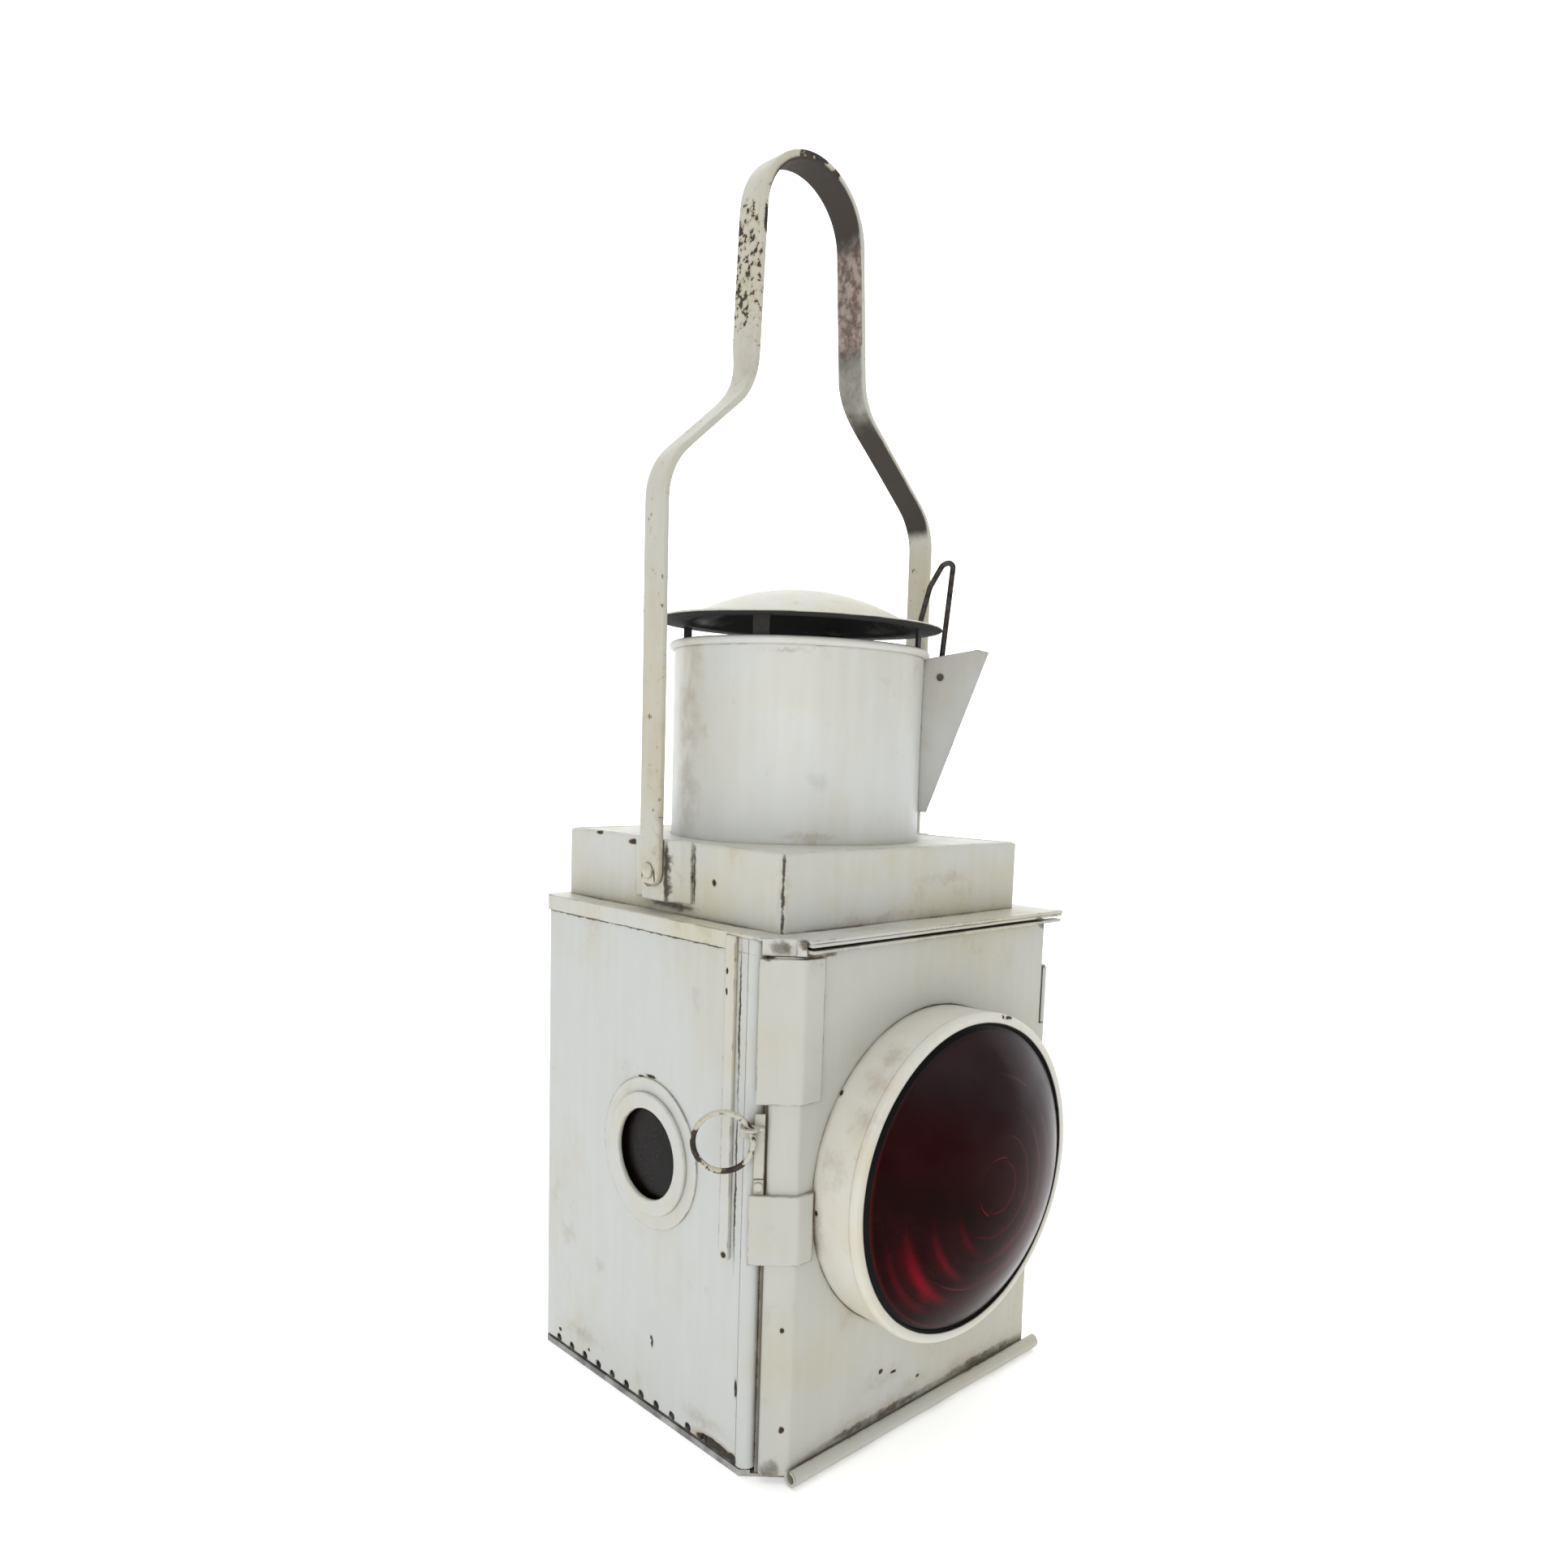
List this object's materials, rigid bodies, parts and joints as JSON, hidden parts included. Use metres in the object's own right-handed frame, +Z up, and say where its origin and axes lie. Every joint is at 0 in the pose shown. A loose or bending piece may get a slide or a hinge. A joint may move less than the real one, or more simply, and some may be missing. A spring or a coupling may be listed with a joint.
{
  "type": "railway tail lamp",
  "caption": "Oil tail lamp with a large red lens in a hinged door, a side window, a capped chimney, a swinging strap handle and a socket for a lamp iron.",
  "frame": {"origin": "middle of the underside of the base", "axes": "+Z up, -Y out of the lens, -X out of the side window, +Y towards the lamp-iron socket"},
  "size_m": [0.183, 0.2084, 0.5213],
  "materials": {
    "white_paint": "aged brush-painted white, chipped",
    "sooty_steel": "sooty black",
    "steel": "dull, worn",
    "tinplate": "dull tin",
    "brass": "dull",
    "red_glass": "deep red, clear",
    "window_glass": "clear, sooty inside",
    "rubber": "matt",
    "cotton": "woven"
  },
  "bodies": {
    "case": {"base_tray": "white_paint", "case_wall": "white_paint", "corner_stop": "white_paint", "side_strip": "white_paint", "roof_plate": "white_paint", "upper_box": "white_paint", "draught_cone": "sooty_steel", "chimney": "white_paint", "cap": "white_paint", "cap_legs": "sooty_steel", "clip_pocket": "white_paint", "pivot_bracket_left": "white_paint", "pivot_bracket_right": "white_paint", "pivot_rivet_left": "white_paint", "pivot_rivet_right": "white_paint", "window_flange": "white_paint", "window_ring": "white_paint", "window_glass": "window_glass", "window_keeper": "steel", "lamp_iron_socket": "white_paint", "hinge_knuckles": "white_paint", "hinge_rod": "steel", "font_rails": "steel", "reservoir": "tinplate", "burner": "brass", "wick_tube": "brass"},
    "door": {"door_panel": "white_paint", "lens_rim": "white_paint", "lens_glass": "red_glass", "lens_gasket": "rubber", "lens_keeper": "steel", "latch_bracket_upper": "white_paint", "latch_bracket_lower": "white_paint", "latch_leaf_root": "white_paint", "leaf_rivet": "white_paint"},
    "latch": {"latch_leaf": "white_paint"},
    "ring": {"ring_pull": "white_paint"},
    "handle": {"handle": "white_paint"},
    "clip": {"cap_clip": "steel"},
    "filler": {"filler_cap": "brass"},
    "winder": {"winder": "brass", "winder_knob": "brass"},
    "wick": {"wick": "cotton"}
  },
  "joints": [
    {"name": "door_hinge", "type": "hinge", "parent": "case", "child": "door", "pos_m": [0.0796, -0.0744, 0.1175], "axis": [0, 0, 1], "range_deg": [0, 115]},
    {"name": "latch_flex", "type": "hinge", "parent": "door", "child": "latch", "pos_m": [-0.07979, -0.06664, 0.1177], "axis": [0.7071, -0.7071, 0], "range_deg": [0, 12], "stiffness_Nm_per_rad": 0.4},
    {"name": "ring_swing", "type": "hinge", "parent": "latch", "child": "ring", "pos_m": [-0.08425, -0.06643, 0.1372], "axis": [0, 0, 1], "range_deg": [-48, 175]},
    {"name": "handle_swing", "type": "hinge", "parent": "case", "child": "handle", "pos_m": [0, 0.0055, 0.223], "axis": [1, 0, 0], "range_deg": [-95, 95]},
    {"name": "clip_swing", "type": "hinge", "parent": "case", "child": "clip", "pos_m": [0.04335, -0.03785, 0.306], "axis": [0.7071, 0.7071, 0], "range_deg": [0, 30]},
    {"name": "filler_turn", "type": "hinge", "parent": "case", "child": "filler", "pos_m": [0.03, 0.032, 0.054], "axis": [0, 0, 1], "continuous": true},
    {"name": "winder_turn", "type": "hinge", "parent": "case", "child": "winder", "pos_m": [0, 0.01005, 0.068], "axis": [1, 0, 0], "range_deg": [-110, 80]},
    {"name": "wick_rise", "type": "slide", "parent": "case", "child": "wick", "axis": [0, 0, 1], "range_m": [-0.006, 0.008]}
  ],
  "couplings": [
    {"joint": "wick_rise", "follows": "winder_turn", "m_per_rad": -0.004}
  ]
}
